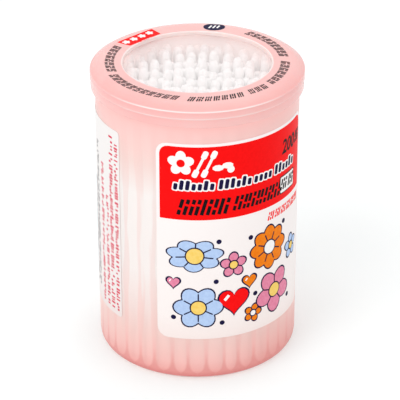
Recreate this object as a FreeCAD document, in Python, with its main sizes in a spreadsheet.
import FreeCAD, Part

# Round tub of double-ended cotton swabs with a lift-off window lid, in millimetres.
# The tub stands on its foot ring, +Z up, with its axis on the Z axis and its front towards -Y.
# The tub, the lid, the clear pane and the two paper labels are bodies with sketched sections.
# The swabs are faceted spindles: a ring along the wall, a ring nested in it and a close-packed core.

import math
import os

import Sketcher

SIZES = [
    ("tub_radius", 27.25, "outer radius of the tub's wall"),
    ("tub_wall", 1.1, "wall thickness"),
    ("floor_thickness", 1.1, "thickness of the floor"),
    ("foot_height", 0.7, "how far the floor is raised inside the foot ring"),
    ("foot_ring_width", 1.5, "flat of the foot ring that the tub stands on"),
    ("foot_corner", 2.8, "rounding from the foot into the wall"),
    ("inside_corner_width", 0.5, "how far in the wall thickens at the floor"),
    ("inside_corner_height", 1.0, "how far above the floor it starts to thicken"),
    ("lid_plate", 1.2, "thickness of the lid's top ring"),
    ("lid_skirt_wall", 1.1, "thickness of the lid's skirt"),
    ("lid_skirt_drop", 6.2, "lid top to the lower edge of its skirt"),
    ("shoulder_width", 2.6, "how far in the lid's shoulder starts to fall"),
    ("shoulder_drop", 1.65, "how far the shoulder falls to the sharp edge of the skirt"),
    ("skirt_gap", 0.2, "clearance between skirt and wall"),
    ("rim_gap", 0.1, "clearance between rim and lid"),
    ("window_radius", 19.85, "radius of the hole in the lid"),
    ("pane_lap", 1.6, "how far the pane reaches under the ring"),
    ("pane_thickness", 0.6, "thickness of the clear pane"),
    ("label_thickness", 0.12, "thickness of the label paper"),
    ("label_blank", 1.0, "thickness of the blank that a label's corners are rounded on"),
    ("label_glue", 0.03, "glue line between wall and label"),
    ("label_corner", 3.0, "corner radius of the labels"),
    ("front_label_bottom", 13.5, "lower edge of the front label above the foot"),
    ("front_label_length", 58.2, "height of the front label"),
    ("front_label_sweep_angle", 103.0, "degrees of the wall that the front label covers"),
    ("front_label_turn_angle", 28.5, "degrees from the front to the middle of the front label"),
    ("back_label_bottom", 14.6, "lower edge of the back label above the foot"),
    ("back_label_length", 56.0, "height of the back label"),
    ("back_label_sweep_angle", 103.0, "degrees of the wall that the back label covers"),
    ("back_label_turn_angle", -100.0, "degrees from the front to the middle of the back label"),
    ("swab_length", 75.0, "tip to tip"),
    ("bud_radius", 1.5, "largest radius of the cotton"),
    ("bud_crown", 2.8, "tip to the widest place of the cotton"),
    ("bud_length", 12.0, "tip to where the cotton meets the stem"),
    ("stem_radius", 0.9, "radius of the three edges that stand for the round stem"),
    ("swab_gap", 0.1, "clearance round a swab"),
    ("headroom", 4.85, "from the upper tips to the rim"),
    ("wall_swab_count", 36, "swabs in the ring along the wall"),
    ("core_group_count", 12, "wedges that the core is divided into, one node each"),
    ("core_pitch", 3.24, "distance between neighbours in the core"),
    ("core_shift", 1.38, "how far the middle row is shifted off the axis"),
]

doc = FreeCAD.newDocument("SwabTub")
sheet = doc.addObject("Spreadsheet::Sheet", "Sizes")
for row, (alias, value, what) in enumerate(SIZES, start=1):
    sheet.set(f"A{row}", what)
    sheet.set(f"B{row}", str(value))
    sheet.setAlias(f"B{row}", alias)
doc.recompute()

# heights and radii that several pieces share, as expressions on the sheet
FLOOR_TOP = "Sizes.foot_height + Sizes.floor_thickness"
RIM = f"{FLOOR_TOP} + Sizes.swab_length + Sizes.headroom"
LID_UNDER = f"{RIM} + Sizes.rim_gap"
LID_TOP = f"{LID_UNDER} + Sizes.lid_plate"
SKIRT_INSIDE = "Sizes.tub_radius + Sizes.skirt_gap"
LID_OUTSIDE = f"{SKIRT_INSIDE} + Sizes.lid_skirt_wall"


def size(alias):
    return float(sheet.get(alias))


def origin_feature(body, role):
    return next(f for f in body.Origin.OriginFeatures if f.Role == role)


def new_body(name):
    body = doc.addObject("PartDesign::Body", name)
    body.Label = name
    return body


def tie_point(sketch, line, direction, expression, value):
    """Ties one coordinate of a line's start to an expression, or to an axis where it is zero."""
    if expression == "0":
        axis = -2 if direction == "DistanceX" else -1
        sketch.addConstraint(Sketcher.Constraint("PointOnObject", line, 1, axis))
        return
    constraint = Sketcher.Constraint(direction, -1, 1, line, 1, value)
    index = sketch.addConstraint(constraint)
    sketch.setExpression(f"Constraints[{index}]", expression)


def section_sketch(body, name, corners):
    """Closed section in the XZ plane through corners given as (radius, height) expressions."""
    sketch = body.newObject("Sketcher::SketchObject", name)
    sketch.AttachmentSupport = (origin_feature(body, "XZ_Plane"), [""])
    sketch.MapMode = "FlatFace"
    points = [
        FreeCAD.Vector(float(sketch.evalExpression(x)), float(sketch.evalExpression(z)), 0)
        for x, z in corners
    ]
    count = len(points)
    for i, point in enumerate(points):
        sketch.addGeometry(Part.LineSegment(point, points[(i + 1) % count]), False)
    for i in range(count):
        following = (i + 1) % count
        sketch.addConstraint(Sketcher.Constraint("Coincident", i, 2, following, 1))
    for i, (radius, height) in enumerate(corners):
        tie_point(sketch, i, "DistanceX", radius, points[i].x)
        tie_point(sketch, i, "DistanceY", height, points[i].y)
    doc.recompute()
    return sketch


def revolve(body, sketch, name, sweep="360"):
    """Turns a section about the vertical axis, evenly to both sides of its plane."""
    feature = body.newObject("PartDesign::Revolution", name)
    feature.Profile = sketch
    feature.ReferenceAxis = (sketch, ["V_Axis"])
    feature.Midplane = True
    feature.setExpression("Angle", sweep)
    body.Tip = feature
    doc.recompute()
    return feature


def make_tub():
    """One moulding: a floor raised inside a foot ring, a rounded foot and a straight wall.

    The foot's rounding is two short straight runs through points of its quarter circle, and
    the corner inside it is filled by one, so that the plastic stays about as thick there.
    """
    foot_inside = "Sizes.tub_radius - Sizes.foot_corner - Sizes.foot_ring_width"
    inside = "Sizes.tub_radius - Sizes.tub_wall"
    corners = [
        ("0", "Sizes.foot_height"),
        (foot_inside, "Sizes.foot_height"),
        (foot_inside, "0"),
        ("Sizes.tub_radius - Sizes.foot_corner", "0"),
        (
            "Sizes.tub_radius - Sizes.foot_corner * (1 - sin(45 deg))",
            "Sizes.foot_corner * (1 - cos(45 deg))",
        ),
        ("Sizes.tub_radius", "Sizes.foot_corner"),
        ("Sizes.tub_radius", RIM),
        (inside, RIM),
        (inside, f"{FLOOR_TOP} + Sizes.inside_corner_height"),
        (f"{inside} - Sizes.inside_corner_width", FLOOR_TOP),
        ("0", FLOOR_TOP),
    ]
    body = new_body("tub")
    revolve(body, section_sketch(body, "TubSection", corners), "TubWall")
    return body


def make_lid():
    """One moulding: a flat ring round the window, a soft shoulder and a skirt over the rim.

    The shoulder follows an arc that leaves the top level, in two straight runs of half its angle.
    """
    fall = "2 * atan(Sizes.shoulder_drop / Sizes.shoulder_width)"
    bend = f"(Sizes.shoulder_width / sin({fall}))"
    corners = [
        ("Sizes.window_radius", LID_TOP),
        (f"{LID_OUTSIDE} - Sizes.shoulder_width", LID_TOP),
        (
            f"{LID_OUTSIDE} - Sizes.shoulder_width + {bend} * sin({fall} / 2)",
            f"{LID_TOP} - {bend} * (1 - cos({fall} / 2))",
        ),
        (LID_OUTSIDE, f"{LID_TOP} - Sizes.shoulder_drop"),
        (LID_OUTSIDE, f"{LID_TOP} - Sizes.lid_skirt_drop"),
        (SKIRT_INSIDE, f"{LID_TOP} - Sizes.lid_skirt_drop"),
        (SKIRT_INSIDE, LID_UNDER),
        ("Sizes.window_radius", LID_UNDER),
    ]
    body = new_body("lid")
    revolve(body, section_sketch(body, "LidSection", corners), "LidRing")
    return body


def make_pane():
    """Clear disc fixed under the ring, so that it lies one ring thickness deep in the window."""
    reach = "Sizes.window_radius + Sizes.pane_lap"
    corners = [
        ("0", LID_UNDER),
        ("0", f"{LID_UNDER} - Sizes.pane_thickness"),
        (reach, f"{LID_UNDER} - Sizes.pane_thickness"),
        (reach, LID_UNDER),
    ]
    body = new_body("lid_window")
    revolve(body, section_sketch(body, "PaneSection", corners), "Pane")
    return body


def strip_corners(low, high, inner, outer):
    """Corners of an upright strip between two offsets from the tub's wall."""
    return [
        (f"Sizes.tub_radius + {inner}", low),
        (f"Sizes.tub_radius + {outer}", low),
        (f"Sizes.tub_radius + {outer}", high),
        (f"Sizes.tub_radius + {inner}", high),
    ]


def make_label(name):
    """Paper label with round corners, wrapped on the wall.

    The corners are rounded on a thick blank, which is then turned down to the paper.
    """
    low = f"Sizes.{name}_bottom"
    high = f"Sizes.{name}_bottom + Sizes.{name}_length"
    paper = "Sizes.label_glue + Sizes.label_thickness"
    blank = "Sizes.label_glue + Sizes.label_blank"
    thickness = size("label_blank")
    body = new_body(name)

    blank_section = strip_corners(low, high, "Sizes.label_glue", blank)
    sketch = section_sketch(body, f"{name}_section", blank_section)
    wrapped = revolve(body, sketch, f"{name}_blank", f"Sizes.{name}_sweep_angle")
    across = [
        f"Edge{i}"
        for i, edge in enumerate(wrapped.Shape.Edges, start=1)
        if abs(edge.Length - thickness) < 0.01 * thickness
    ]
    rounded = body.newObject("PartDesign::Fillet", f"{name}_corners")
    rounded.Base = (wrapped, across)
    rounded.setExpression("Radius", "Sizes.label_corner")
    body.Tip = rounded
    doc.recompute()

    waste_section = strip_corners(
        f"{low} - Sizes.label_blank", f"{high} + Sizes.label_blank", paper, f"{blank} * 2"
    )
    waste = section_sketch(body, f"{name}_waste", waste_section)
    turned = body.newObject("PartDesign::Groove", f"{name}_paper")
    turned.Profile = waste
    turned.ReferenceAxis = (waste, ["V_Axis"])
    turned.Angle = 360
    body.Tip = turned
    doc.recompute()
    if turned.Shape.Volume >= rounded.Shape.Volume:
        raise RuntimeError(f"{name} was not turned down to its paper")

    # the section lies towards +X, a quarter turn from the front
    turn = FreeCAD.Rotation(FreeCAD.Vector(0, 0, 1), size(f"{name}_turn_angle") - 90)
    body.Placement = FreeCAD.Placement(FreeCAD.Vector(0, 0, 0), turn)
    return body


def level_ring(sides, radius, height, x, y):
    """Corners of a level polygon round the upright axis at x and y, or its centre for one side."""
    turns = [2 * math.pi * i / sides for i in range(sides)]
    return [
        FreeCAD.Vector(x + radius * math.cos(turn), y + radius * math.sin(turn), height)
        for turn in turns
    ]


def facet(*corners):
    return Part.Face(Part.makePolygon([*corners, corners[0]]))


def band(lower, upper):
    """Three-sided facets between two level rings, each side joined to the nearest corner."""
    steps = [((i + 0.5) / len(lower), "lower") for i in range(len(lower)) if len(lower) > 1]
    steps += [((i + 0.5) / len(upper), "upper") for i in range(len(upper)) if len(upper) > 1]
    facets = []
    i = 0
    j = 0
    for _, side in sorted(steps):
        here = lower[i % len(lower)]
        there = upper[j % len(upper)]
        if side == "lower":
            i += 1
            facets.append(facet(here, lower[i % len(lower)], there))
        else:
            j += 1
            facets.append(facet(here, upper[j % len(upper)], there))
    return facets


def make_swab(x, y):
    """Three-edged stem with a five-sided cotton bud at each end, standing on the floor."""
    floor_top = size("foot_height") + size("floor_thickness")
    length = size("swab_length")
    half = [
        (1, 0, 0),
        (5, size("bud_radius"), size("bud_crown")),
        (3, size("stem_radius"), size("bud_length")),
    ]
    levels = half + [(sides, radius, length - height) for sides, radius, height in half[::-1]]
    rings = [level_ring(sides, radius, floor_top + height, x, y) for sides, radius, height in levels]
    facets = []
    for lower, upper in zip(rings, rings[1:]):
        facets += band(lower, upper)
    solid = Part.Solid(Part.Shell(facets))
    solid.fix(1e-6, 1e-6, 1e-6)
    return solid


def swab_node(name, places):
    """One named node that holds the swabs at the given places as separate solids."""
    node = doc.addObject("Part::Feature", name)
    node.Label = name
    swabs = [make_swab(x, y) for x, y in places]
    node.Shape = swabs[0] if len(swabs) == 1 else Part.makeCompound(swabs)
    return node


def polar(radius, degrees):
    """A place seen from above, with the angle counted from the front."""
    turn = math.radians(degrees - 90)
    return radius * math.cos(turn), radius * math.sin(turn)


def make_wall_swabs(ring_radius):
    """The swabs that show through the wall, each in a node of its own."""
    count = int(size("wall_swab_count"))
    return [
        swab_node(f"wall_swab_{i + 1:02d}", [polar(ring_radius, i * 360 / count)])
        for i in range(count)
    ]


def make_core(core_radius):
    """The close-packed swabs within a radius, one node for each wedge of the circle."""
    pitch = size("core_pitch")
    row_step = pitch * math.sin(math.radians(60))
    rows = int(core_radius / row_step)
    columns = int(core_radius / pitch) + 1
    wedges = [[] for _ in range(int(size("core_group_count")))]
    for row in range(-rows, rows + 1):
        offset = size("core_shift") + (pitch / 2 if row % 2 else 0)
        for column in range(-columns, columns + 1):
            place = (offset + pitch * column, row * row_step)
            if math.hypot(*place) < core_radius:
                turn = math.atan2(place[1], place[0]) / (2 * math.pi) % 1
                wedges[int(turn * len(wedges))].append(place)
    return [swab_node(f"core_swabs_{i:02d}", places) for i, places in enumerate(wedges, start=1)]


def make_swabs():
    """All the swabs, from the wall inwards."""
    count = int(size("wall_swab_count"))
    bud = size("bud_radius")
    gap = size("swab_gap")
    wall_ring = size("tub_radius") - size("tub_wall") - bud - gap

    # a nested swab lies against two swabs of the wall ring
    half_step = math.radians(180 / count)
    apart = 2 * bud + gap / 2
    side = wall_ring * math.sin(half_step)
    nested_ring = wall_ring * math.cos(half_step) - math.sqrt(apart**2 - side**2)
    nested = [polar(nested_ring, (i + 0.5) * 360 / count) for i in range(count)]

    nodes = make_wall_swabs(wall_ring)
    nodes.append(swab_node("nested_swabs", nested))
    nodes += make_core(nested_ring - 2 * bud - gap)
    return nodes


parts = [make_tub(), make_lid(), make_pane(), make_label("front_label"), make_label("back_label")]
swab_nodes = make_swabs()
parts += swab_nodes
doc.recompute()

for item in doc.Objects:
    if "Invalid" in item.State or "Error" in item.State:
        raise RuntimeError(f"{item.Label} did not build: {item.State}")
for item in parts:
    if item.Shape.isNull() or not item.Shape.isValid():
        raise RuntimeError(f"{item.Label} has no valid shape")

os.makedirs("parts", exist_ok=True)
for item in parts:
    item.Shape.exportStep(f"parts/{item.Label}.step")
    volume = sum(solid.Volume for solid in item.Shape.Solids)
    print(item.Label, round(volume, 1), "mm3")
print("swabs", sum(len(node.Shape.Solids) for node in swab_nodes))
